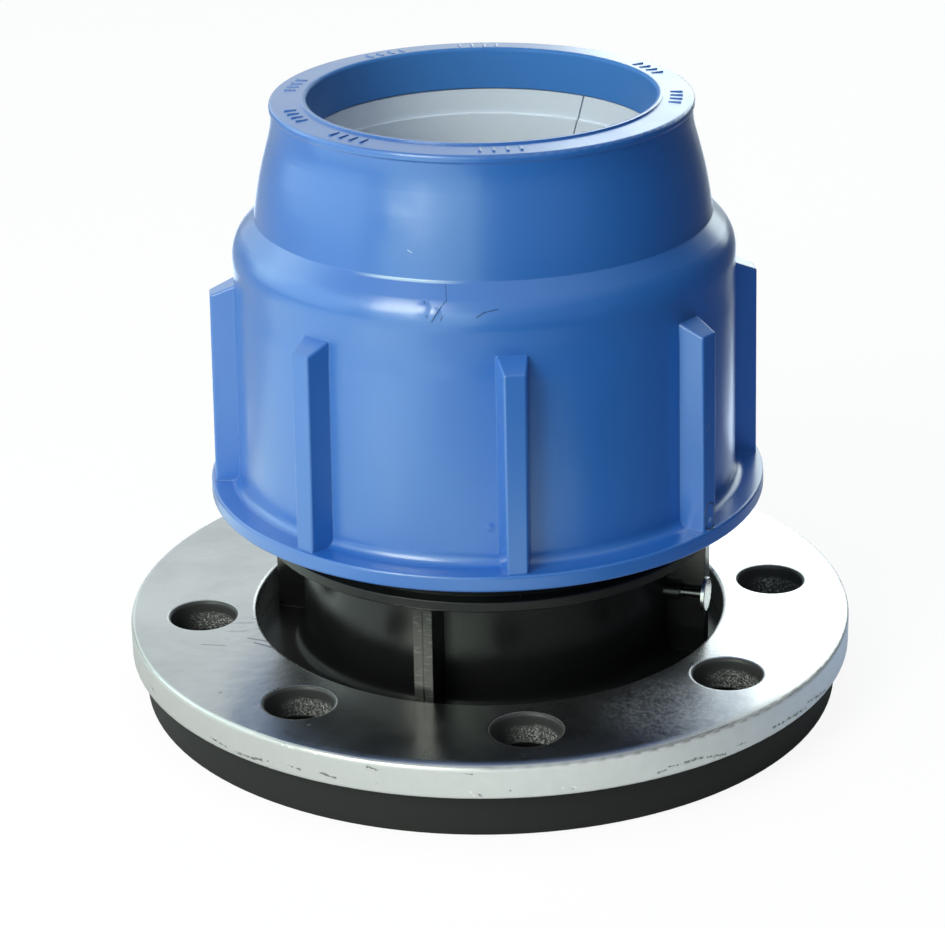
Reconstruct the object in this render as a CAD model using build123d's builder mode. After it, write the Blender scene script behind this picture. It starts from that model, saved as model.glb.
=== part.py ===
from build123d import *
from math import ceil, cos, radians, sin, tan
import os

# Flange adaptor for a 90 mm plastic pipe and a DN80 flange, in millimetres.
# The pipe axis is Z, the flange face lies at height 0, and the front of the fitting looks along -Y.

# Pipe and seal
pipe_radius = 45.0
pocket_clearance = 0.6
mouth_clearance = 0.75
bush_clearance = 1.0
pipe_stop_width = 5.6
seal_cord = 7.0
seal_squeeze_gap = 0.5
seat_clearance = 0.1

# Flange of the body
flange_thickness = 12.7
flange_rim = 7.4
flange_edge = 0.8
face_groove_count = 4
face_groove_pitch = 5.0
face_groove_width = 1.2
face_groove_depth = 0.6
face_groove_inset = 6.0

# Bolt holes, which the body and the backing ring share
bolt_count = 8
bolt_hole_radius = 9.0
bolt_web = 5.9
bolt_angle = -83.6

# Backing ring
ring_thickness = 8.6
ring_rim = 11.0
ring_play = 3.1
ring_roll = 1.1

# Neck, its ribs and the collar
neck_wall = 5.9
neck_length = 33.3
neck_fillet = 4.0
neck_rib_count = 4
neck_rib_width = 5.2
neck_rib_angle = -106.4
neck_rib_set_back = 0.4
collar_thickness = 3.0
collar_lip = 1.6
collar_edge = 0.4

# Threaded socket of the body
socket_length = 55.0
socket_wall = 5.9
socket_lead = 1.0
seal_seat_depth = 26.0
pocket_depth = 44.0

# Thread of the body and the nut
thread_pitch = 6.0
thread_depth = 2.3
thread_root_width = 3.4
thread_crest_width = 1.6
thread_clearance = 0.4
flank_clearance = 0.35
thread_end_margin = 0.9
thread_embed = 0.4

# Thrust bush and grip ring
bush_length = 25.7
bush_chamfer = 0.8
grip_length = 35.2
grip_wall = 1.7
grip_taper = 0.267
grip_guide_length = 6.9
grip_guide_clearance = 1.1
grip_band_length = 14.3
grip_band_clearance = 0.5
grip_tooth_count = 5
grip_tooth_depth = 1.0
grip_slit_width = 0.4
grip_slit_angle = 58.4
grip_slit_lean = 15.0

# Running gaps of the moving pieces
travel_margin = 0.5
grip_gap = 0.3
bush_gap = 0.8
chamber_gap = 1.6

# Nut
nut_gap = 8.9
nut_wall = 6.0
nut_draft = 0.7
foot_width = 7.7
foot_thickness = 4.3
foot_cove = 2.6
foot_edge = 0.7
chamber_slope = 4.5
barrel_shortfall = 2.0
waist_depth = 0.3
waist_rise = 4.2
waist_fillet = 60.0
shoulder_bulge = 0.0
shoulder_rise = 14.6
shoulder_fillet = 10.2
crease_rise = 21.5
crease_wall = 7.8
cone_bend_rise = 9.6
cone_bend_in = 1.45
cone_bend_fillet = 90.0
lip_length = 11.3
lip_wall = 9.95
rim_neck_depth = 0.45
rim_neck_drop = 7.0
rim_neck_fillet = 25.0
rim_bead_drop = 3.0
rim_edge = 0.9
rim_step = 0.45
rim_step_width = 1.7
rim_fall = 0.35
mouth_edge = 0.9

# Ribs of the nut
nut_rib_count = 8
nut_rib_angle = -84.4
nut_rib_reach = 6.3
nut_rib_flare = 1.0
nut_rib_tip_width = 5.3
nut_rib_root_width = 9.3
nut_rib_top_rise = 1.3
nut_rib_bevel = 23.0
nut_rib_edge = 0.7

# Plain raised bars on the rim of the nut
bar_group_angles = (-160.0, -131.0, -85.0, -6.0, 28.0, 91.0, 121.0, 166.0)
bars_in_group = 4
bar_spacing_angle = 3.8
bar_length = 3.2
bar_width = 0.7
bar_height = 0.3
bar_inset = 3.2

# Headed pin beside the right-hand neck rib
pin_rib = 1
pin_radius = 1.2
pin_height = 31.3
pin_rib_gap = 0.2
pin_depth = 3.9
pin_point = 0.8
pin_head_radius = 4.7
pin_head_thickness = 1.1
pin_head_edge = 0.25
boss_radius = 2.4
boss_length = 4.1

# Radii, from the pipe outwards
pocket_radius = pipe_radius + pocket_clearance
waterway_radius = pocket_radius - pipe_stop_width
seal_inner_radius = pipe_radius + seal_squeeze_gap
socket_bore_radius = seal_inner_radius + seal_cord + seat_clearance
socket_radius = socket_bore_radius + socket_wall
thread_crest_radius = socket_radius + thread_depth
neck_radius = pocket_radius + neck_wall
collar_radius = thread_crest_radius + collar_lip
neck_rib_radius = collar_radius - neck_rib_set_back
ring_bore_radius = neck_rib_radius + ring_play
bolt_circle_radius = ring_bore_radius + bolt_web + bolt_hole_radius
flange_radius = bolt_circle_radius + bolt_hole_radius + flange_rim
ring_radius = bolt_circle_radius + bolt_hole_radius + ring_rim

mouth_radius = pipe_radius + mouth_clearance
lip_radius = mouth_radius + lip_wall
nut_bore_radius = thread_crest_radius + thread_clearance
nut_thread_radius = socket_radius + thread_clearance
barrel_radius = nut_bore_radius + nut_wall
foot_radius = barrel_radius + nut_draft + foot_width

# Heights, from the flange face upwards
neck_top = flange_thickness + neck_length
collar_top = neck_top + collar_thickness
socket_top = collar_top + socket_length
seal_seat = socket_top - seal_seat_depth
pipe_stop = seal_seat - pocket_depth
bush_bottom = seal_seat + seal_cord + seat_clearance
bush_top = bush_bottom + bush_length

nut_bottom = collar_top + nut_gap
nut_drop = nut_gap - travel_margin
foot_top = nut_bottom + foot_thickness
chamber_top = socket_top + nut_drop + chamber_gap
grip_bottom = bush_top + nut_drop + bush_gap
grip_top = grip_bottom + grip_length
lip_bottom = grip_top + grip_gap
nut_top = lip_bottom + lip_length
crease_height = chamber_top + crease_rise

# Slopes and radii of the cone that the grip ring sits in
grip_top_radius = mouth_radius + grip_wall
grip_cone_clearance = grip_gap


def grip_radius(height):
    """Outer radius of the grip ring at a height."""
    return grip_top_radius + (grip_top - height) * grip_taper


def cone_radius(height):
    """Inner radius of the nut's cone at a height."""
    return grip_radius(height) + grip_cone_clearance


def corner(profile, radius, height):
    """The corner that a profile has now at a radius and a height."""
    return profile.vertices().sort_by_distance(Vector(radius, height))[0]


def thread_ridge(embedded_radius, free_radius, embedded_width, free_width, start, turns):
    """A helical ridge of trapezoid section, from one radius, inside the wall, to its free crest."""
    with BuildPart() as ridge:
        with BuildLine() as path:
            Helix(
                pitch=thread_pitch,
                height=turns * thread_pitch,
                radius=embedded_radius,
                center=(0, 0, start),
            )
        with BuildSketch(Plane.XZ) as section:
            with BuildLine():
                Polyline(
                    (embedded_radius, start - embedded_width / 2),
                    (free_radius, start - free_width / 2),
                    (free_radius, start + free_width / 2),
                    (embedded_radius, start + embedded_width / 2),
                    close=True,
                )
            make_face()
        sweep(path=path.line, is_frenet=True)
    return ridge.part


# Widths of the two thread ridges, which mesh with the same gap on both flanks
flank_slope = (thread_root_width - thread_crest_width) / 2 / thread_depth
body_embedded_width = thread_root_width + 2 * thread_embed * flank_slope
nut_crest_width = thread_pitch - thread_root_width - 2 * flank_clearance + 2 * thread_clearance * flank_slope
nut_embedded_reach = nut_bore_radius + thread_embed - nut_thread_radius
nut_embedded_width = nut_crest_width + 2 * nut_embedded_reach * flank_slope

body_thread_start = collar_top + body_embedded_width / 2 + thread_end_margin
body_thread_end = socket_top - socket_lead - body_embedded_width / 2 - thread_end_margin
body_thread_turns = (body_thread_end - body_thread_start) / thread_pitch

nut_thread_lowest = nut_bottom + nut_embedded_width / 2 + thread_end_margin / 2
nut_thread_offset = ceil((nut_thread_lowest - body_thread_start) / thread_pitch - 0.5) + 0.5
nut_thread_start = body_thread_start + nut_thread_offset * thread_pitch
nut_thread_turns = (socket_top - nut_thread_start - nut_embedded_width / 2) / thread_pitch

# Place of the headed pin: its axis runs beside the rib, parallel to it
pin_angle = neck_rib_angle + pin_rib * 360.0 / neck_rib_count
pin_side = neck_rib_width / 2 + pin_rib_gap + pin_radius
pin_along = Vector(cos(radians(pin_angle)), sin(radians(pin_angle)), 0)
pin_across = Vector(sin(radians(pin_angle)), -cos(radians(pin_angle)), 0)


def pin_plane(reach):
    """A plane across the pin, at a distance from the pipe axis along the rib."""
    origin = pin_along * reach + pin_across * pin_side + Vector(0, 0, pin_height)
    return Plane(origin=origin, x_dir=(0, 0, 1), z_dir=pin_along)


pin_tip_reach = neck_radius - pin_depth
boss_reach = neck_radius + boss_length

os.makedirs("parts", exist_ok=True)


# Body: flange, neck, collar and threaded socket, one moulding
with BuildPart() as body:
    with BuildSketch(Plane.XZ) as body_profile:
        with BuildLine():
            Polyline(
                (waterway_radius, 0),
                (flange_radius, 0),
                (flange_radius, flange_thickness),
                (neck_radius, flange_thickness),
                (neck_radius, neck_top),
                (collar_radius, neck_top),
                (collar_radius, collar_top),
                (socket_radius, collar_top),
                (socket_radius, socket_top),
                (socket_bore_radius, socket_top),
                (socket_bore_radius, seal_seat),
                (pocket_radius, seal_seat),
                (pocket_radius, pipe_stop),
                (waterway_radius, pipe_stop),
                close=True,
            )
        make_face()
        fillet(corner(body_profile, neck_radius, flange_thickness), radius=neck_fillet)
        fillet(
            [
                corner(body_profile, flange_radius, 0),
                corner(body_profile, flange_radius, flange_thickness),
            ],
            radius=flange_edge,
        )
        fillet(
            [
                corner(body_profile, collar_radius, neck_top),
                corner(body_profile, collar_radius, collar_top),
            ],
            radius=collar_edge,
        )
        chamfer(
            [
                corner(body_profile, socket_radius, socket_top),
                corner(body_profile, socket_bore_radius, socket_top),
                corner(body_profile, pocket_radius, seal_seat),
            ],
            length=socket_lead,
        )
    revolve(axis=Axis.Z)

    # Ribs of the neck, from the flange to the collar
    with BuildSketch(Plane.XY.offset(flange_thickness)):
        rib_middle = (neck_radius + neck_rib_radius) / 2
        rib_root = neck_radius - neck_wall / 2
        with PolarLocations(rib_middle, neck_rib_count, start_angle=neck_rib_angle):
            with Locations((-(rib_middle - (rib_root + neck_rib_radius) / 2), 0)):
                Rectangle(neck_rib_radius - rib_root, neck_rib_width)
    extrude(amount=neck_length)

    # Boss and hole of the headed pin
    with BuildSketch(pin_plane(pin_tip_reach)):
        Circle(boss_radius)
    extrude(amount=boss_reach - pin_tip_reach)
    with BuildSketch(pin_plane(pin_tip_reach)):
        Circle(pin_radius)
    extrude(amount=boss_reach - pin_tip_reach, mode=Mode.SUBTRACT)

    # Bolt holes
    with PolarLocations(bolt_circle_radius, bolt_count, start_angle=bolt_angle):
        Hole(bolt_hole_radius)

    # Sealing grooves in the flange face
    with BuildSketch(Plane.XY):
        for groove in reversed(range(face_groove_count)):
            groove_radius = waterway_radius + face_groove_inset + groove * face_groove_pitch
            Circle(groove_radius + face_groove_width)
            Circle(groove_radius, mode=Mode.SUBTRACT)
    extrude(amount=face_groove_depth, mode=Mode.SUBTRACT)

    add(
        thread_ridge(
            socket_radius - thread_embed,
            thread_crest_radius,
            body_embedded_width,
            thread_crest_width,
            body_thread_start,
            body_thread_turns,
        )
    )
body.part.label = "body"


# Backing ring: punched steel plate with rolled upper edges
with BuildPart() as backing_ring:
    with BuildSketch(Plane.XY.offset(flange_thickness)):
        Circle(ring_radius)
        Circle(ring_bore_radius, mode=Mode.SUBTRACT)
        with PolarLocations(bolt_circle_radius, bolt_count, start_angle=bolt_angle):
            Circle(bolt_hole_radius, mode=Mode.SUBTRACT)
    extrude(amount=ring_thickness)
    fillet(backing_ring.faces().sort_by(Axis.Z)[-1].edges(), radius=ring_roll)
backing_ring.part.label = "backing_ring"


# Headed pin: a flat round head on a plain shank with a blunt point
with BuildPart() as retaining_pin:
    with BuildSketch(pin_plane(pin_tip_reach)):
        Circle(pin_radius)
    extrude(amount=neck_rib_radius - pin_tip_reach)
    chamfer(
        retaining_pin.faces().sort_by(Axis(Vector(0, 0, 0), pin_along))[0].edges(),
        length=pin_point,
    )
    with BuildSketch(pin_plane(neck_rib_radius)):
        Circle(pin_head_radius)
    extrude(amount=pin_head_thickness)
    fillet(
        retaining_pin.faces().sort_by(Axis(Vector(0, 0, 0), pin_along))[-1].edges(),
        radius=pin_head_edge,
    )
retaining_pin.part.label = "retaining_pin"


# Seal ring on its seat in the socket
with BuildPart() as seal_ring:
    with BuildSketch(Plane.XZ):
        with Locations((seal_inner_radius + seal_cord / 2, seal_seat + seal_cord / 2)):
            Circle(seal_cord / 2)
    revolve(axis=Axis.Z)
seal_ring.part.label = "seal_ring"


# Thrust bush on the seal ring
bush_inner_radius = pipe_radius + bush_clearance
bush_outer_radius = socket_bore_radius - seat_clearance

with BuildPart() as thrust_bush:
    with BuildSketch(Plane.XZ) as bush_profile:
        with BuildLine():
            Polyline(
                (bush_inner_radius, bush_bottom),
                (bush_outer_radius, bush_bottom),
                (bush_outer_radius, bush_top),
                (bush_inner_radius, bush_top),
                close=True,
            )
        make_face()
        chamfer(bush_profile.vertices(), length=bush_chamfer)
    revolve(axis=Axis.Z)
thrust_bush.part.label = "thrust_bush"


# Grip ring: a split cone with a plain guide at the mouth, a plain band below it and teeth at the bottom
guide_radius = pipe_radius + grip_guide_clearance
band_radius = pipe_radius + grip_band_clearance
tooth_root_radius = band_radius + grip_tooth_depth
guide_bottom = grip_top - grip_guide_length
band_bottom = guide_bottom - grip_band_length
tooth_pitch = (band_bottom - grip_bottom) / grip_tooth_count

with BuildPart() as grip_ring:
    with BuildSketch(Plane.XZ):
        with BuildLine():
            outline = [
                (guide_radius, grip_top),
                (grip_radius(grip_top), grip_top),
                (grip_radius(grip_bottom), grip_bottom),
            ]
            for tooth in reversed(range(grip_tooth_count)):
                crest = band_bottom - tooth * tooth_pitch
                outline.append((tooth_root_radius, crest - tooth_pitch))
                outline.append((band_radius, crest))
            outline.append((band_radius, guide_bottom))
            outline.append((guide_radius, guide_bottom))
            Polyline(*outline, close=True)
        make_face()
    revolve(axis=Axis.Z)
    slit_plane = Plane.XY.rotated((0, 0, grip_slit_angle))
    with Locations(slit_plane.location * Location((grip_radius(grip_bottom), 0, (grip_top + grip_bottom) / 2))):
        Box(
            grip_radius(grip_bottom),
            grip_slit_width,
            2 * grip_length,
            rotation=(grip_slit_lean, 0, 0),
            mode=Mode.SUBTRACT,
        )
grip_ring.part.label = "grip_ring"


# One rib of the nut, along +X: drafted sides, a leaning tip and a bevelled top
barrel_top = chamber_top - barrel_shortfall
barrel_bottom_radius = barrel_radius + nut_draft
rib_embedded_radius = barrel_radius - nut_wall / 2
rib_tip_radius = barrel_radius + nut_rib_reach
rib_foot_radius = rib_tip_radius + nut_rib_flare
rib_bottom = nut_bottom + foot_thickness / 2
rib_shoulder = chamber_top + nut_rib_top_rise
rib_bevel_run = rib_tip_radius - rib_embedded_radius
rib_bevel_rise = rib_bevel_run * tan(radians(nut_rib_bevel))

with BuildPart() as nut_rib:
    with BuildSketch(Plane.XZ):
        with BuildLine():
            Polyline(
                (rib_embedded_radius, rib_bottom),
                (rib_foot_radius, rib_bottom),
                (rib_tip_radius, rib_shoulder),
                (rib_embedded_radius, rib_shoulder + rib_bevel_rise),
                close=True,
            )
        make_face()
    extrude(amount=nut_rib_root_width, both=True)
    with BuildSketch(Plane.XY.offset(rib_bottom)):
        with BuildLine():
            Polyline(
                (rib_embedded_radius, -nut_rib_root_width / 2),
                (rib_foot_radius, -nut_rib_tip_width / 2),
                (rib_foot_radius, nut_rib_tip_width / 2),
                (rib_embedded_radius, nut_rib_root_width / 2),
                close=True,
            )
        make_face()
    extrude(amount=2 * (rib_shoulder - rib_bottom), mode=Mode.INTERSECT)
    rib_tip = nut_rib.faces().sort_by(Axis.X)[-1]
    rib_top = nut_rib.faces().sort_by(Axis.Z)[-1]
    rib_edges = rib_tip.edges() + rib_top.edges().filter_by(Axis.Y, reverse=True)
    fillet(rib_edges, radius=nut_rib_edge)


# Union nut: bored and threaded below, coned inside above, with a rounded shoulder
waist = (barrel_radius - waist_depth, chamber_top + waist_rise)
shoulder = (barrel_radius + shoulder_bulge, chamber_top + shoulder_rise)
crease = (cone_radius(crease_height) + crease_wall, crease_height)
cone_bend = (crease[0] - cone_bend_in, crease_height + cone_bend_rise)
rim_neck = (lip_radius - rim_neck_depth, nut_top - rim_neck_drop)
rim_face = nut_top - rim_step
step_radius = mouth_radius + rim_step_width
bar_radius = lip_radius - bar_inset - bar_length / 2

with BuildPart() as nut:
    with BuildSketch(Plane.XZ) as nut_profile:
        with BuildLine():
            Polyline(
                (nut_bore_radius, nut_bottom),
                (foot_radius, nut_bottom),
                (foot_radius, foot_top),
                (barrel_bottom_radius, foot_top),
                (barrel_radius, barrel_top),
                waist,
                shoulder,
                crease,
                cone_bend,
                rim_neck,
                (rim_neck[0], nut_top - rim_bead_drop),
                (lip_radius, nut_top - rim_bead_drop + rim_neck_depth),
                (lip_radius, rim_face - rim_fall),
                (step_radius, rim_face),
                (step_radius, nut_top),
                (mouth_radius, nut_top),
                (mouth_radius, lip_bottom),
                (cone_radius(lip_bottom), lip_bottom),
                (cone_radius(chamber_top + chamber_slope), chamber_top + chamber_slope),
                (nut_bore_radius, chamber_top),
                close=True,
            )
        make_face()
        fillet(corner(nut_profile, barrel_bottom_radius, foot_top), radius=foot_cove)
        fillet(
            [
                corner(nut_profile, foot_radius, nut_bottom),
                corner(nut_profile, foot_radius, foot_top),
            ],
            radius=foot_edge,
        )
        fillet(corner(nut_profile, *waist), radius=waist_fillet)
        fillet(corner(nut_profile, *shoulder), radius=shoulder_fillet)
        fillet(corner(nut_profile, *cone_bend), radius=cone_bend_fillet)
        fillet(corner(nut_profile, *rim_neck), radius=rim_neck_fillet)
        fillet(corner(nut_profile, lip_radius, rim_face - rim_fall), radius=rim_edge)
        fillet(corner(nut_profile, mouth_radius, nut_top), radius=mouth_edge)
    revolve(axis=Axis.Z)
    add(
        thread_ridge(
            nut_bore_radius + thread_embed,
            nut_thread_radius,
            nut_embedded_width,
            nut_crest_width,
            nut_thread_start,
            nut_thread_turns,
        )
    )
    with PolarLocations(0, nut_rib_count, start_angle=nut_rib_angle):
        add(nut_rib.part)
    with BuildSketch(Plane.XY.offset(rim_face - rim_fall)):
        for group in bar_group_angles:
            first = group - bar_spacing_angle * (bars_in_group - 1) / 2
            last = bar_spacing_angle * bars_in_group
            with PolarLocations(bar_radius, bars_in_group, start_angle=first, angular_range=last):
                Rectangle(bar_length, bar_width)
    extrude(amount=rim_fall / 2 + bar_height)
nut.part.label = "nut"

for piece in (body, backing_ring, retaining_pin, seal_ring, thrust_bush, grip_ring, nut):
    export_step(piece.part, f"parts/{piece.part.label}.step")
    print(piece.part.label, round(piece.part.volume), [round(v, 2) for v in piece.part.bounding_box().size])
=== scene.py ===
import math

import bpy
from mathutils import Matrix, Vector

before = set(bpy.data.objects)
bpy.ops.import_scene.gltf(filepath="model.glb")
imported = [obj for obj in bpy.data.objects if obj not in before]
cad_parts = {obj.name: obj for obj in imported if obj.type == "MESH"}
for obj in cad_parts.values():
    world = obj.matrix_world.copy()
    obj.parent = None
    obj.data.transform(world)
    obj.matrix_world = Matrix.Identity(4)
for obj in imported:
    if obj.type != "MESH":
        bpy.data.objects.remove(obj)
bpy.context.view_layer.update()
scene = bpy.context.scene
scene.view_settings.view_transform = "Standard"

# Camera: fitted to the circles of the photograph
IMAGE_WIDTH = 945
SENSOR = 36.0
FOCAL_PX = 2898.4
CAMERA_PLACE = Vector((0.0, -0.736075, 0.367838))
CAMERA_PITCH = math.radians(22.583)
CAMERA_YAW = math.radians(-0.317)
CAMERA_ROLL = math.radians(-1.037)


def add_camera():
    forward = Vector((
        math.sin(CAMERA_YAW) * math.cos(CAMERA_PITCH),
        math.cos(CAMERA_YAW) * math.cos(CAMERA_PITCH),
        -math.sin(CAMERA_PITCH),
    ))
    level = Vector((math.cos(CAMERA_YAW), -math.sin(CAMERA_YAW), 0.0))
    upward = level.cross(forward)
    right = level * math.cos(CAMERA_ROLL) + upward * math.sin(CAMERA_ROLL)
    up = upward * math.cos(CAMERA_ROLL) - level * math.sin(CAMERA_ROLL)
    data = bpy.data.cameras.new("camera")
    data.sensor_width = SENSOR
    data.lens = FOCAL_PX / IMAGE_WIDTH * SENSOR
    data.clip_start = 0.01
    camera = bpy.data.objects.new("camera", data)
    turn = Matrix((right, up, -forward)).transposed()
    camera.matrix_world = Matrix.Translation(CAMERA_PLACE) @ turn.to_4x4()
    scene.collection.objects.link(camera)
    scene.camera = camera


# Node helpers
MM_PER_METRE = 1000.0


def colour(value):
    """A colour of three values gets a fourth, and anything else stays as it is."""
    return (*value, 1.0) if isinstance(value, tuple) and len(value) == 3 else value


class Tree:
    """A material's node tree with short calls for the nodes used here."""

    def __init__(self, name):
        self.material = bpy.data.materials.new(name)
        self.material.use_nodes = True
        self.nodes = self.material.node_tree.nodes
        self.links = self.material.node_tree.links
        self.shader = self.nodes["Principled BSDF"]
        self.place = self.nodes.new("ShaderNodeTexCoord").outputs["Object"]

    def put(self, value, socket):
        """A number or colour is set on the socket, and an output is linked to it."""
        if isinstance(value, bpy.types.NodeSocket):
            self.links.new(value, socket)
        else:
            socket.default_value = value

    def set(self, name, value):
        self.put(colour(value), self.shader.inputs[name])

    def math(self, operation, a, b=0.0, clamp=False):
        node = self.nodes.new("ShaderNodeMath")
        node.operation = operation
        node.use_clamp = clamp
        self.put(a, node.inputs[0])
        self.put(b, node.inputs[1])
        return node.outputs[0]

    def add(self, a, b):
        return self.math("ADD", a, b)

    def less(self, a, b):
        return self.math("SUBTRACT", a, b)

    def times(self, a, b):
        return self.math("MULTIPLY", a, b)

    def most(self, masks):
        """The largest of several masks."""
        largest = masks[0]
        for mask in masks[1:]:
            largest = self.math("MAXIMUM", largest, mask)
        return largest

    def vector(self, operation, a, b=None):
        node = self.nodes.new("ShaderNodeVectorMath")
        node.operation = operation
        self.put(a, node.inputs[0])
        if b is not None:
            self.put(b, node.inputs[1])
        return node.outputs["Value" if operation in ("DOT_PRODUCT", "LENGTH", "DISTANCE") else "Vector"]

    def ramp(self, value, low, high):
        """A smooth step of a value, zero at low and one at high."""
        node = self.nodes.new("ShaderNodeMapRange")
        node.interpolation_type = "SMOOTHSTEP"
        self.put(value, node.inputs["Value"])
        node.inputs["From Min"].default_value = low
        node.inputs["From Max"].default_value = high
        return node.outputs["Result"]

    def band(self, value, low, high, soft):
        """One inside low to high, zero outside, with soft sides."""
        rise = self.ramp(value, low - soft, low + soft)
        fall = self.ramp(value, high + soft, high - soft)
        return self.times(rise, fall)

    def noise(self, scale, detail, stretch=None, roughness=0.5):
        node = self.nodes.new("ShaderNodeTexNoise")
        node.inputs["Scale"].default_value = scale
        node.inputs["Detail"].default_value = detail
        node.inputs["Roughness"].default_value = roughness
        source = self.place
        if stretch is not None:
            mapping = self.nodes.new("ShaderNodeMapping")
            mapping.inputs["Scale"].default_value = stretch
            self.links.new(self.place, mapping.inputs["Vector"])
            source = mapping.outputs["Vector"]
        self.links.new(source, node.inputs["Vector"])
        return node.outputs["Fac"]

    def voronoi(self, scale):
        node = self.nodes.new("ShaderNodeTexVoronoi")
        node.inputs["Scale"].default_value = scale
        self.links.new(self.place, node.inputs["Vector"])
        return node.outputs["Distance"]

    def axes(self):
        node = self.nodes.new("ShaderNodeSeparateXYZ")
        self.links.new(self.place, node.inputs[0])
        return node.outputs[0], node.outputs[1], node.outputs[2]

    def polar(self):
        """Distance from the pipe axis, angle about it in radians and height, in metres."""
        x, y, z = self.axes()
        radius = self.math("SQRT", self.add(self.times(x, x), self.times(y, y)))
        angle = self.math("ARCTAN2", y, x)
        return radius, angle, z

    def mix(self, factor, a, b):
        """Colour a where the factor is zero, colour b where it is one."""
        return self.mixed("RGBA", factor, colour(a), colour(b))

    def blend(self, factor, a, b):
        """Number a where the factor is zero, number b where it is one."""
        return self.mixed("FLOAT", factor, a, b)

    def mixed(self, data_type, factor, a, b):
        node = self.nodes.new("ShaderNodeMix")
        node.data_type = data_type
        self.put(factor, node.inputs["Factor"])
        self.put(a, node.inputs["A"])
        self.put(b, node.inputs["B"])
        return node.outputs["Result"]

    def bump(self, height, distance, strength, normal=None):
        node = self.nodes.new("ShaderNodeBump")
        node.inputs["Distance"].default_value = distance
        node.inputs["Strength"].default_value = strength
        self.links.new(height, node.inputs["Height"])
        if normal is not None:
            self.links.new(normal, node.inputs["Normal"])
        return node.outputs["Normal"]

    def round_edges(self, radius):
        node = self.nodes.new("ShaderNodeBevel")
        node.samples = 4
        node.inputs["Radius"].default_value = radius
        return node.outputs["Normal"]

    def spot(self, point, size, soft=0.5):
        """One near a point given in millimetres, zero beyond a size."""
        away = self.vector("DISTANCE", self.place, Vector(point) / MM_PER_METRE)
        return self.ramp(away, size / MM_PER_METRE, size * soft / MM_PER_METRE)

    def stroke(self, start, end, width, soft=0.35):
        """One along a straight mark between two points in millimetres, zero beside it."""
        start = Vector(start) / MM_PER_METRE
        run = Vector(end) / MM_PER_METRE - start
        offset = self.vector("SUBTRACT", self.place, start)
        share = self.math("DIVIDE", self.vector("DOT_PRODUCT", offset, run), run.length_squared, clamp=True)
        scaled = self.nodes.new("ShaderNodeVectorMath")
        scaled.operation = "SCALE"
        scaled.inputs[0].default_value = run
        self.links.new(share, scaled.inputs["Scale"])
        away = self.vector("LENGTH", self.vector("SUBTRACT", offset, scaled.outputs["Vector"]))
        return self.ramp(away, width / MM_PER_METRE, width * soft / MM_PER_METRE)


# Nut. Marks are in millimetres: thin pale scratches, folds darkened with painted shade, shallow dents, a
# dark speck and a gate mark
NUT_SCRATCHES = [
    ((-18.8, -56.6, 142.6), (-17.8, -57.0, 142.0), 0.14),
    ((56.0, -48.5, 89.9), (57.1, -47.1, 91.2), 0.12),
]
NUT_FOLDS = [
    ((-9.6, -60.6, 134.9), (-9.4, -63.6, 131.7), 0.10),
    ((-9.4, -63.6, 131.7), (-11.4, -64.8, 129.6), 0.16),
    ((-11.4, -64.8, 129.6), (-13.1, -65.5, 127.0), 0.26),
    ((-10.4, -65.5, 128.5), (-10.9, -65.8, 127.3), 0.14),
    ((-14.9, -62.9, 131.3), (-14.3, -65.0, 127.9), 0.14),
    ((-2.1, -66.4, 128.2), (-0.1, -66.0, 129.3), 0.22),
    ((-0.1, -66.0, 129.3), (3.3, -65.6, 129.9), 0.14),
    ((56.2, -48.1, 90.2), (57.4, -46.6, 91.4), 0.18),
]
NUT_DENTS = [
    ((-15.2, -64.2, 129.6), 2.6),
    ((-12.2, -65.0, 129.0), 1.8),
    ((0.5, -67.7, 72.4), 1.5),
    ((-22.2, -53.9, 148.9), 6.0),
]
NUT_SPECK = ((64.4, -18.6, 115.5), 0.5)
GATE_MARK = ((57.5, -47.2, 63.9), (57.5, -47.2, 67.3))
GATE_RADIUS = 2.2
GATE_INSIDE = 0.85
GATE_PIP = ((57.5, -47.2, 64.6), 0.9)
# A thin highlight painted as a pale line in the crease under the cone: heights in metres and angles in
# radians
CREASE_GLINT_HEIGHT = (0.1350, 0.1356)
CREASE_GLINT_ANGLE = (-2.06, -1.72)
# The nut's surface changes from inside to outside between these radii
MOUTH_EDGE = (0.0462, 0.0470)


def nut_colour(t, outside, fold, gate_rim, pale_marks_and_painted_highlight):
    cloud = t.ramp(t.noise(18.0, 3.0), 0.3, 0.7)
    base = t.mix(cloud, (0.020, 0.140, 0.535), (0.022, 0.149, 0.570))
    # Inside the mouth the base colour is lighter: painted light on the bore walls
    base = t.mix(outside, (0.060, 0.215, 0.600), base)
    # Folds get painted shade: a darker base colour in their creases
    base = t.mix(t.times(fold, 0.4), base, (0.004, 0.025, 0.110))
    base = t.mix(t.times(gate_rim, 0.7), base, (0.004, 0.020, 0.080))
    # Scratches and the pip are pale marks, and the crease line is a painted highlight
    base = t.mix(pale_marks_and_painted_highlight, base, (0.55, 0.72, 0.90))
    return t.mix(t.spot(*NUT_SPECK), base, (0.002, 0.010, 0.050))


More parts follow.
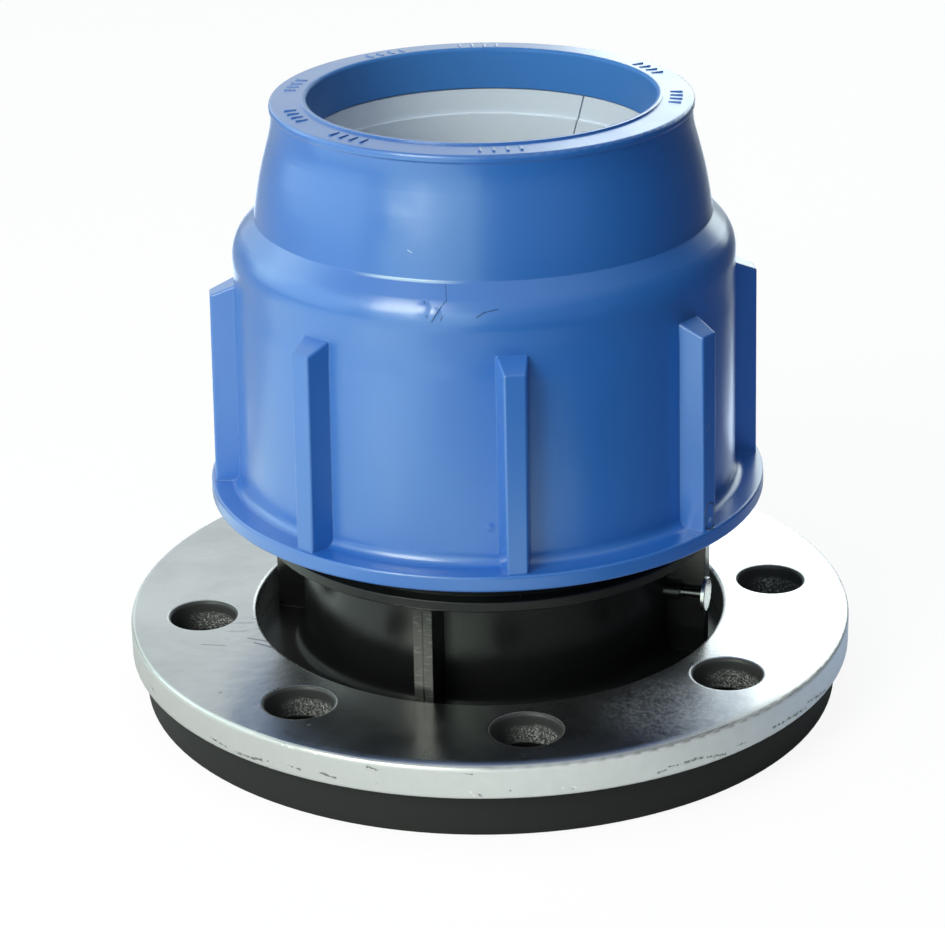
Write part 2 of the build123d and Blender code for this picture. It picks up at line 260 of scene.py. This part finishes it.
def nut_plastic():
    t = Tree("nut_plastic")
    radius, angle, height = t.polar()
    outside = t.ramp(radius, *MOUTH_EDGE)
    scratch = t.most([t.stroke(*mark) for mark in NUT_SCRATCHES])
    fold = t.most([t.stroke(*mark) for mark in NUT_FOLDS])
    dent = t.most([t.spot(*mark, soft=0.1) for mark in NUT_DENTS])
    gate = t.stroke(*GATE_MARK, GATE_RADIUS, soft=0.9)
    gate_inside = t.stroke(*GATE_MARK, GATE_RADIUS * GATE_INSIDE, soft=GATE_INSIDE)
    gate_rim = t.times(gate, t.less(1.0, gate_inside))
    pip = t.spot(*GATE_PIP, soft=0.6)
    # The crease glint is a painted highlight, a pale line in the base colour
    painted_crease_glint = t.times(t.band(height, *CREASE_GLINT_HEIGHT, 0.00015), t.band(angle, *CREASE_GLINT_ANGLE, 0.10))
    pale_marks_and_painted_highlight = t.most([t.times(scratch, 0.9), t.times(pip, 0.35), t.times(painted_crease_glint, 0.7)])

    t.set("Base Color", nut_colour(t, outside, fold, gate_rim, pale_marks_and_painted_highlight))
    smear = t.ramp(t.noise(70.0, 4.0, (1.0, 1.0, 0.35)), 0.35, 0.7)
    t.set("Roughness", t.blend(smear, 0.36, 0.40))
    t.set("Specular IOR Level", t.blend(outside, 0.12, 0.5))
    t.set("Specular Tint", (0.85, 1.0, 0.98))
    t.set("Coat Weight", outside)
    t.set("Coat IOR", 1.68)
    t.set("Coat Roughness", t.blend(smear, 0.22, 0.25))
    wavy = t.bump(t.noise(45.0, 2.0), 0.0006, 0.22, t.round_edges(0.0004))
    dented = t.bump(dent, 0.0004, 0.35, wavy)
    folded = t.bump(t.most([fold, gate_rim]), 0.0004, 1.0, dented)
    t.set("Normal", t.bump(t.noise(900.0, 2.0), 0.00004, 0.25, folded))
    t.set("Coat Normal", folded)
    return t.material


# Body. Radii and heights are in metres: the matt rim of the flange, and the dark well between neck and ring
FLANGE_RIM_EDGE = (0.0955, 0.0962)
FLANGE_RIM_TOP = (0.0127, 0.0122)
WELL_TOP = (0.0215, 0.0190)
WELL_EDGE = (0.066, 0.065)
# Front face of the neck's foremost rib, with angles in radians
NECK_RIB_ANGLE = math.radians(-106.4)
NECK_RIB_HALF = 0.041
NECK_LINE_HALF = 0.003
NECK_RIB_SOFT = 0.002
NECK_RIB_HEIGHT = (0.0135, 0.0455)
NECK_RIB_RADIUS = (0.0610, 0.0616)


def beside_neck_rib(t, angle, half):
    """One within an angle to both sides of the middle of the neck's foremost rib."""
    return t.band(angle, NECK_RIB_ANGLE - half, NECK_RIB_ANGLE + half, NECK_RIB_SOFT)


def body_plastic():
    t = Tree("body_plastic")
    radius, angle, height = t.polar()
    rim = t.times(t.ramp(radius, *FLANGE_RIM_EDGE), t.ramp(height, *FLANGE_RIM_TOP))
    well = t.times(t.ramp(height, *WELL_TOP), t.ramp(radius, *WELL_EDGE))
    face = t.times(t.ramp(radius, *NECK_RIB_RADIUS), t.band(height, *NECK_RIB_HEIGHT, 0.0003))
    face = t.times(face, beside_neck_rib(t, angle, NECK_RIB_HALF))
    line = t.times(face, beside_neck_rib(t, angle, NECK_LINE_HALF))
    scrapes = t.times(face, t.ramp(t.noise(600.0, 3.0, (0.5, 0.5, 2.6)), 0.54, 0.64))
    cloud = t.noise(60.0, 4.0)

    base = t.mix(cloud, (0.006, 0.006, 0.0065), (0.010, 0.010, 0.011))
    base = t.mix(rim, base, (0.011, 0.011, 0.012))
    base = t.mix(face, base, (0.045, 0.045, 0.043))
    base = t.mix(scrapes, base, (0.085, 0.085, 0.082))
    t.set("Base Color", t.mix(line, base, (0.004, 0.004, 0.004)))
    t.set("Roughness", t.blend(rim, t.blend(cloud, 0.18, 0.32), 0.62))
    t.set("Specular IOR Level", t.blend(well, t.blend(face, 0.5, 0.35), 0.10))
    wavy = t.bump(t.noise(50.0, 2.0), 0.0006, 0.3, t.round_edges(0.0004))
    t.set("Normal", t.bump(t.noise(1500.0, 3.0), 0.00005, 0.5, wavy))
    return t.material


# Steel ring. Marks on its top are in millimetres: scuffs, a field of small scuffs and a field of spangles
STEEL_SCUFFS = [
    ((-78.4, -27.5, 21.3), (-72.1, -28.4, 21.3), 0.35),
    ((-64.0, -27.0, 21.3), (-57.5, -31.0, 21.3), 0.5),
    ((-66.0, -24.0, 21.3), (-60.0, -26.5, 21.3), 0.4),
    ((-71.2, -56.5, 21.3), (-70.8, -56.3, 21.3), 0.5),
    ((-47.0, -75.4, 21.3), (-46.7, -75.3, 21.3), 0.5),
    ((-58.0, -63.0, 21.3), (-51.0, -60.0, 21.3), 0.3),
]
STEEL_SCUFF_FIELD = ((-66.5, -18.5, 21.3), 10.0)
STEEL_SPANGLE_FIELD = ((46.0, -68.0, 21.3), 30.0)
# Marks on the rim: angle in degrees and height at one end, the same at the other end, and the width
RIM_RADIUS = 99.98
RIM_CRACKS = [
    (-43.2, 14.6, -39.1, 14.5, 0.9),
    (-39.1, 14.5, -34.1, 13.9, 1.0),
    (-33.5, 15.0, -30.4, 14.4, 1.3),
    (-30.4, 14.4, -26.7, 13.5, 1.1),
    (-60.7, 15.1, -58.5, 15.2, 0.9),
    (-58.5, 15.2, -55.8, 14.2, 0.9),
    (-55.8, 14.2, -53.3, 13.6, 0.8),
    (-63.4, 15.2, -61.3, 14.9, 0.5),
    (-65.4, 14.4, -64.0, 14.4, 0.8),
    (-51.0, 14.6, -49.3, 14.5, 0.5),
    (-108.5, 19.6, -106.4, 19.0, 0.8),
    (-156.0, 15.8, -153.7, 15.3, 0.6),
    (-136.9, 14.4, -133.0, 13.9, 0.7),
    (-131.6, 13.6, -128.3, 13.8, 0.9),
    (-128.3, 13.8, -125.0, 14.5, 0.9),
    (-121.2, 15.2, -119.1, 14.9, 0.6),
    (-116.0, 15.4, -113.3, 14.8, 0.7),
    (-94.8, 19.7, -92.8, 19.6, 0.4),
    (-92.2, 14.2, -91.6, 13.4, 0.6),
]
RIM_GLINTS = [
    (-122.3, 20.6, -120.2, 20.5, 0.5),
    (-117.0, 20.6, -116.3, 20.5, 0.5),
    (-62.5, 14.0, -60.5, 13.8, 0.5),
    (-57.0, 13.5, -54.5, 13.2, 0.5),
    (-80.2, 14.5, -77.7, 14.5, 0.7),
    (-93.4, 15.0, -92.6, 13.4, 0.6),
]
CHIP_SPREAD = 1.7
CHIP_EDGE = (0.95, 1.04)
# The ring's surfaces, with radii and heights in metres and angles in radians
RIM_EDGE = (0.0985, 0.0993)
RIM_TOP = (0.0211, 0.0204)
PIT_TOP = (0.0165, 0.0150)
HOLE_BAND = (0.0702, 0.0898)
HOLE_TOP = (0.02128, 0.02115)
BORE_EDGE = (0.0665, 0.0660)
BORE_TOP = (0.0212, 0.0209)
TORN_TOP = (0.0196, 0.0176)
TORN_LIT_SIDE = (-0.006, 0.003)
HOLE_CIRCLE = 0.080
HOLE_STEP = math.radians(45.0)
HOLE_START = math.radians(6.4)
ROLL_START = 0.0958
ROLL_WIDTH = 0.0034
ROLLED_EDGE = (-2.0, -0.7)


def on_rim(angle, height):
    turn = math.radians(angle)
    return (RIM_RADIUS * math.cos(turn), RIM_RADIUS * math.sin(turn), height)


def rim_chips(t, marks, grain):
    """Ragged chips that gather about the marks and thin out beside them."""
    lines = []
    for start_angle, start_height, end_angle, end_height, width in marks:
        start = on_rim(start_angle, start_height)
        end = on_rim(end_angle, end_height)
        lines.append(t.stroke(start, end, width * CHIP_SPREAD, soft=0.0))
    return t.ramp(t.add(t.times(t.most(lines), 0.5), grain), *CHIP_EDGE)


def rim_wear(t, rim, height):
    """Dark torn places on the rim, and white glints that are painted highlights on chips."""
    ragged = t.noise(900.0, 6.0, roughness=0.7)
    pits = t.times(t.ramp(t.voronoi(420.0), 0.16, 0.06), t.ramp(t.noise(60.0, 2.0), 0.52, 0.66))
    pits = t.times(pits, t.ramp(height, *PIT_TOP))
    torn = t.times(rim, t.most([rim_chips(t, RIM_CRACKS, ragged), pits]))
    painted_glints = t.times(rim, rim_chips(t, RIM_GLINTS, ragged))
    return torn, painted_glints


def top_wear(t):
    """Scuffed places on the ring's top."""
    scuffs = t.most([t.stroke(*mark) for mark in STEEL_SCUFFS])
    small = t.ramp(t.noise(420.0, 3.0, (0.5, 1.4, 1.0)), 0.55, 0.68)
    return t.most([t.times(scuffs, 0.7), t.times(t.times(t.spot(*STEEL_SCUFF_FIELD), small), 0.35)])


def right_of_hole(t, x, angle):
    """Distance to the right of the middle of the nearest bolt hole."""
    number = t.math("ROUND", t.math("DIVIDE", t.less(angle, HOLE_START), HOLE_STEP))
    middle = t.math("COSINE", t.add(t.times(number, HOLE_STEP), HOLE_START))
    return t.less(x, t.times(middle, HOLE_CIRCLE))


def torn_hole(t, hole, x, angle, height, edge):
    """The rough lower part of each bolt hole's wall, kept to its right side, where its pale flecks are
    painted light.
    """
    low = t.ramp(t.add(height, t.times(edge, 0.0024)), *TORN_TOP)
    right = t.ramp(t.add(right_of_hole(t, x, angle), t.times(edge, 0.002)), *TORN_LIT_SIDE)
    return t.times(hole, t.times(low, right))


def zinc_steel():
    t = Tree("zinc_steel")
    x = t.axes()[0]
    radius, angle, height = t.polar()
    rim = t.times(t.ramp(radius, *RIM_EDGE), t.ramp(height, *RIM_TOP))
    hole = t.times(t.band(radius, *HOLE_BAND, 0.0002), t.ramp(height, *HOLE_TOP))
    bore = t.times(t.ramp(radius, *BORE_EDGE), t.ramp(height, *BORE_TOP))
    edge = t.noise(260.0, 3.0)
    rough_lit_hole = torn_hole(t, hole, x, angle, height, edge)
    cloud = t.ramp(t.noise(28.0, 5.0, roughness=0.6), 0.3, 0.7)
    field = t.spot(*STEEL_SPANGLE_FIELD, soft=0.15)
    spangle = t.times(field, t.ramp(t.noise(1000.0, 6.0, roughness=0.72), 0.40, 0.60))
    worn = top_wear(t)
    torn, painted_glints = rim_wear(t, rim, height)

    top = t.mix(cloud, (0.56, 0.555, 0.56), (0.71, 0.70, 0.70))
    top = t.mix(worn, top, (0.26, 0.27, 0.29))
    top = t.mix(t.times(spangle, 0.5), top, (0.92, 0.94, 0.96))
    # The rim's side grows lighter towards the right: painted light
    side = t.mix(t.ramp(x, -0.09, 0.05), (0.58, 0.56, 0.58), (0.96, 0.95, 1.0))
    side = t.mix(t.times(edge, 0.2), side, (0.40, 0.41, 0.42))
    flecks = t.ramp(t.noise(1700.0, 6.0, roughness=0.75), 0.47, 0.66)
    base = t.mix(rim, top, side)
    # The bore and the bolt hole walls get dark colours as painted shade in these recesses
    base = t.mix(bore, base, (0.10, 0.10, 0.105))
    base = t.mix(hole, base, (0.05, 0.05, 0.053))
    # Pale flecks in the rough part of each hole, only on its right side: painted light
    base = t.mix(rough_lit_hole, base, t.mix(flecks, (0.06, 0.06, 0.062), (0.70, 0.70, 0.71)))
    base = t.mix(t.times(torn, 0.7), base, (0.08, 0.08, 0.085))
    # Glints are painted highlights in white
    t.set("Base Color", t.mix(painted_glints, base, (1.0, 1.0, 1.0)))
    t.set("Metallic", t.blend(t.most([hole, bore]), t.blend(rim, 1.0, 0.25), 0.0))

    over = t.math("DIVIDE", t.less(radius, ROLL_START), ROLL_WIDTH, clamp=True)
    over = t.times(over, t.band(angle, *ROLLED_EDGE, 0.35))
    dulled = t.add(t.times(worn, 0.25), t.add(t.times(field, 0.10), t.times(spangle, 0.12)))
    gloss = t.add(t.blend(cloud, 0.22, 0.29), dulled)
    gloss = t.blend(t.most([rim, hole, t.times(over, 0.8)]), gloss, 0.42)
    t.set("Roughness", t.blend(rough_lit_hole, gloss, 0.7))

    rolled = t.bump(t.less(1.0, t.times(over, over)), 0.0006, 1.0, t.round_edges(0.0008))
    wavy = t.bump(t.noise(120.0, 3.0), 0.0004, 0.25, rolled)
    spangled = t.bump(t.times(spangle, t.noise(2600.0, 2.0)), 0.00001, 1.0, wavy)
    rough = t.bump(t.times(rough_lit_hole, t.noise(1100.0, 4.0)), 0.0005, 1.0, spangled)
    t.set("Normal", t.bump(t.less(1.0, torn), 0.0003, 0.8, rough))
    return t.material


def ring_plastic():
    t = Tree("ring_plastic")
    t.set("Base Color", t.mix(t.noise(40.0, 3.0), (0.78, 0.85, 0.99), (0.82, 0.88, 1.0)))
    t.set("Roughness", 0.24)
    t.set("Normal", t.bump(t.noise(60.0, 2.0), 0.0005, 0.2, t.round_edges(0.0004)))
    return t.material


def bush_plastic():
    t = Tree("bush_plastic")
    t.set("Base Color", t.mix(t.noise(80.0, 3.0), (0.014, 0.014, 0.016), (0.022, 0.022, 0.024)))
    t.set("Roughness", 0.5)
    t.set("Normal", t.bump(t.noise(900.0, 2.0), 0.00005, 0.5))
    return t.material


def seal_rubber():
    t = Tree("seal_rubber")
    t.set("Base Color", t.mix(t.noise(120.0, 3.0), (0.012, 0.012, 0.012), (0.020, 0.020, 0.020)))
    t.set("Roughness", 0.7)
    t.set("Normal", t.bump(t.noise(1400.0, 3.0), 0.00008, 0.6))
    return t.material


# The pin's shank has a dark base colour and its head a bright one, which change between these radii
PIN_HEAD_EDGE = (0.0614, 0.0618)


def pin_steel():
    t = Tree("pin_steel")
    radius = t.polar()[0]
    cloud = t.noise(500.0, 4.0)
    bright = t.mix(cloud, (0.60, 0.61, 0.62), (0.78, 0.79, 0.80))
    t.set("Base Color", t.mix(t.ramp(radius, *PIN_HEAD_EDGE), (0.16, 0.16, 0.17), bright))
    t.set("Metallic", 1.0)
    t.set("Roughness", t.blend(cloud, 0.2, 0.34))
    t.set("Normal", t.bump(t.noise(900.0, 2.0), 0.00006, 0.6))
    return t.material


# World: direction of each glow, where along it the glow starts and is full, and its brightness
ROOM_GLOWS = [
    ((0.0, 1.0, 0.0), 0.76, 0.90, 0.95),
    ((-0.5, -0.1, 0.86), 0.0, 0.8, 0.7),
    ((0.2, -0.97, 0.1), 0.5, 0.95, 0.22),
]
ROOM_DIM = 0.04
ROOM_TINT = (0.88, 0.98, 1.0)
CAMERA_WHITE = 1.02
WHITE = (1.0, 1.0, 1.0)


def add_world():
    """White to the camera. The object sees a backdrop, a ceiling, a faint glow in front and a dim room."""
    world = bpy.data.worlds.new("world")
    world.use_nodes = True
    scene.world = world
    nodes = world.node_tree.nodes
    links = world.node_tree.links
    look = nodes.new("ShaderNodeTexCoord").outputs["Generated"]

    def level(towards, low, high, brightness):
        along = nodes.new("ShaderNodeVectorMath")
        along.operation = "DOT_PRODUCT"
        along.inputs[1].default_value = towards
        links.new(look, along.inputs[0])
        step = nodes.new("ShaderNodeMapRange")
        step.interpolation_type = "SMOOTHSTEP"
        step.inputs["From Min"].default_value = low
        step.inputs["From Max"].default_value = high
        step.inputs["To Min"].default_value = ROOM_DIM
        step.inputs["To Max"].default_value = brightness
        links.new(along.outputs["Value"], step.inputs["Value"])
        return step.outputs["Result"]

    levels = [level(*glow) for glow in ROOM_GLOWS]
    brightest = levels[0]
    for other in levels[1:]:
        larger = nodes.new("ShaderNodeMath")
        larger.operation = "MAXIMUM"
        links.new(brightest, larger.inputs[0])
        links.new(other, larger.inputs[1])
        brightest = larger.outputs[0]
    room = nodes["Background"]
    room.inputs["Color"].default_value = colour(ROOM_TINT)
    links.new(brightest, room.inputs["Strength"])
    white = nodes.new("ShaderNodeBackground")
    white.inputs["Strength"].default_value = CAMERA_WHITE
    white.inputs["Color"].default_value = colour(WHITE)
    mix = nodes.new("ShaderNodeMixShader")
    links.new(nodes.new("ShaderNodeLightPath").outputs["Is Camera Ray"], mix.inputs[0])
    links.new(room.outputs[0], mix.inputs[1])
    links.new(white.outputs[0], mix.inputs[2])
    links.new(mix.outputs[0], nodes["World Output"].inputs["Surface"])


# Floor: white to the camera. In reflections it is pale at the left and behind, and dim at the front right
FLOOR_SIZE = 12.0
FLOOR_DROP = 0.0001
FLOOR_PALE = (0.60, 0.60, 0.60)
FLOOR_DIM = (0.04, 0.04, 0.04)
FLOOR_GLOW = 1.12
FLOOR_GLOW_SHARE = 0.8
DIM_SIDE = (0.94, -0.34, 0.0)
DIM_START = 0.10
DIM_END = 0.18


def add_floor():
    bpy.ops.mesh.primitive_plane_add(size=FLOOR_SIZE, location=(0.0, 0.0, -FLOOR_DROP))
    floor = bpy.context.object
    floor.name = "floor"
    t = Tree("floor")
    seen = t.nodes.new("ShaderNodeLightPath").outputs["Is Camera Ray"]
    dim = t.ramp(t.vector("DOT_PRODUCT", t.place, DIM_SIDE), DIM_START, DIM_END)
    dim = t.times(dim, t.less(1.0, seen))
    t.set("Base Color", t.mix(dim, FLOOR_PALE, FLOOR_DIM))
    t.set("Roughness", 0.8)
    glow = t.nodes.new("ShaderNodeEmission")
    glow.inputs["Strength"].default_value = FLOOR_GLOW
    mix = t.nodes.new("ShaderNodeMixShader")
    t.links.new(t.times(seen, FLOOR_GLOW_SHARE), mix.inputs[0])
    t.links.new(t.shader.outputs[0], mix.inputs[1])
    t.links.new(glow.outputs[0], mix.inputs[2])
    t.links.new(mix.outputs[0], t.nodes["Material Output"].inputs["Surface"])
    floor.data.materials.append(t.material)


# Lamps: name, place, size, watts, colour and the point faced. The last four lie on the table and face up
CYAN = (0.76, 1.0, 0.90)
PART = Vector((0.0, 0.0, 0.08))
OVER_PART = Vector((0.0, 0.0, 0.3))
UPWARDS = None
LAMPS = [
    ("left", (-0.88, 0.02, 0.42), (1.10, 0.66), 2.2, CYAN, OVER_PART),
    ("front_left", (-0.45, -0.93, 0.38), (0.95, 0.76), 2.7, (0.76, 1.0, 0.78), OVER_PART),
    ("spot", (-0.52, -0.86, 0.34), (0.10, 0.22), 0.15, WHITE, PART),
    ("top", (-0.56, -0.70, 0.74), (0.42, 0.54), 5.2, (1.0, 1.0, 0.84), PART),
    ("back", (0.40, 0.95, 0.42), (0.72, 0.55), 2.5, (0.86, 0.98, 0.96), PART),
    ("left_back", (-0.73, 0.59, 0.67), (1.10, 0.90), 2.2, CYAN, PART),
    ("table_left", (-0.54, -0.30, 0.001), (0.80, 0.80), 1.5, CYAN, UPWARDS),
    ("table_back", (-0.01, 0.54, 0.001), (0.38, 0.80), 1.9, (0.66, 0.82, 1.0), UPWARDS),
    ("table_right", (0.17, 0.05, 0.001), (0.10, 0.40), 0.22, (0.42, 0.66, 1.0), UPWARDS),
    ("table_near", (-0.06, -0.235, 0.001), (0.44, 0.09), 0.11, CYAN, UPWARDS),
]
ONLY_IN_REFLECTIONS = ("left", "back", "left_back", "table_near")
NOT_IN_REFLECTIONS = ("table_right",)


def add_lamp(name, place, size, watts, tint, target):
    data = bpy.data.lights.new(name, "AREA")
    data.shape = "RECTANGLE"
    data.size, data.size_y = size
    data.energy = watts
    data.color = tint
    lamp = bpy.data.objects.new(name, data)
    lamp.location = place
    aim = Vector((0.0, 0.0, 1.0)) if target is UPWARDS else target - Vector(place)
    lamp.rotation_euler = aim.to_track_quat("-Z", "Y").to_euler()
    lamp.visible_camera = False
    lamp.visible_diffuse = name not in ONLY_IN_REFLECTIONS
    lamp.visible_glossy = name not in NOT_IN_REFLECTIONS
    scene.collection.objects.link(lamp)


add_camera()
add_world()
add_floor()
for lamp in LAMPS:
    add_lamp(*lamp)

finishes = {
    "nut": nut_plastic(),
    "body": body_plastic(),
    "backing_ring": zinc_steel(),
    "grip_ring": ring_plastic(),
    "thrust_bush": bush_plastic(),
    "seal_ring": seal_rubber(),
    "retaining_pin": pin_steel(),
}
for name, finish in finishes.items():
    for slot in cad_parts[name].material_slots:
        slot.material = finish
